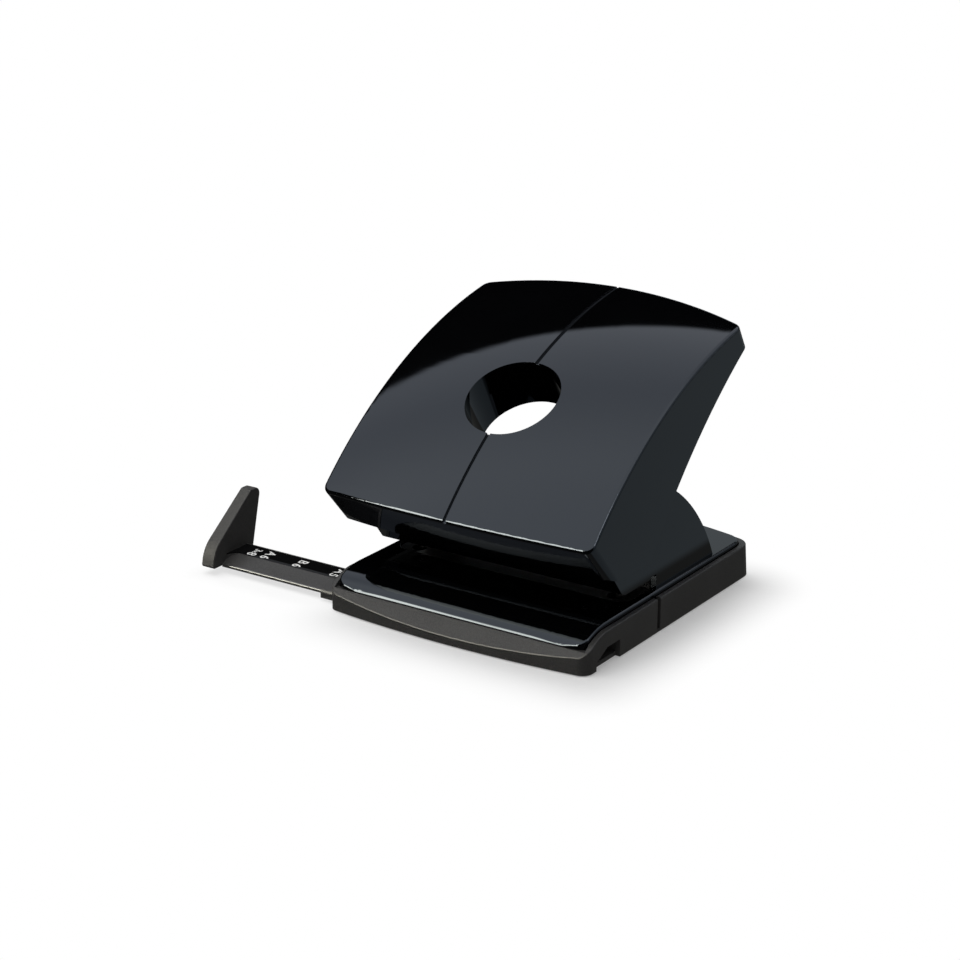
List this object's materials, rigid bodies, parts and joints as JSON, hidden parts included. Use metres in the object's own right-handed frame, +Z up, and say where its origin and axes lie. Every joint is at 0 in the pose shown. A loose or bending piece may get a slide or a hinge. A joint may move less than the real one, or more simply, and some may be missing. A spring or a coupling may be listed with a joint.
{
  "type": "desk hole punch",
  "caption": "Desk paper punch with a broad curved lever with a finger hole, a fixed bridge, sprung pins, a flap-down chip tray and a pull-out paper guide with a stop fin.",
  "frame": {"origin": "on the desk, under the middle of the line between the two punch pins", "axes": "+X to the right along the paper edge, +Y to the back, +Z up"},
  "size_m": [0.1637, 0.1234, 0.0994],
  "materials": {
    "gloss_black": "gloss",
    "charcoal": "matt",
    "strip_black": "satin",
    "plate_steel": "black oxide",
    "bright_steel": "bright",
    "spring_steel": "drawn",
    "screw_steel": "zinc"
  },
  "bodies": {
    "base": {"base_cover": "gloss_black", "base_plate": "plate_steel", "rear_tray": "charcoal", "bridge_housing": "gloss_black", "housing_screws": "screw_steel", "punch_frame_left": "plate_steel", "punch_frame_right": "plate_steel", "frame_rivets": "bright_steel", "pivot_axle": "bright_steel", "axle_clips": "bright_steel", "punch_spring_left": "spring_steel", "punch_spring_right": "spring_steel"},
    "lever": {"lever_cover": "gloss_black", "lever_frame": "plate_steel", "lever_screws": "screw_steel"},
    "pin_left": {"punch_pin_left": "bright_steel"},
    "pin_right": {"punch_pin_right": "bright_steel"},
    "tray": {"chip_tray": "charcoal"},
    "rail": {"guide_rail": "charcoal", "scale_strip": "strip_black"}
  },
  "joints": [
    {"name": "lever_hinge", "type": "hinge", "parent": "base", "child": "lever", "pos_m": [0, -0.014, 0.036], "axis": [-1, 0, 0], "range_deg": [0, 25.8], "stiffness_Nm_per_rad": 0.25, "springref_deg": -34.38},
    {"name": "pin_left_slide", "type": "slide", "parent": "base", "child": "pin_left", "axis": [0, 0, -1], "range_m": [0, 0.0064], "deforming": ["punch_spring_left"]},
    {"name": "pin_right_slide", "type": "slide", "parent": "base", "child": "pin_right", "axis": [0, 0, -1], "range_m": [0, 0.0064], "deforming": ["punch_spring_right"]},
    {"name": "tray_hinge", "type": "hinge", "parent": "base", "child": "tray", "pos_m": [0, 0.0087, 0.00045], "axis": [1, 0, 0], "range_deg": [0, 30]},
    {"name": "rail_slide", "type": "slide", "parent": "tray", "child": "rail", "axis": [-1, 0, 0], "range_m": [-0.038, 0.046]}
  ],
  "couplings": [
    {"joint": "pin_left_slide", "follows": "lever_hinge", "m_per_rad": 0.0142},
    {"joint": "pin_right_slide", "follows": "lever_hinge", "m_per_rad": 0.0142}
  ]
}
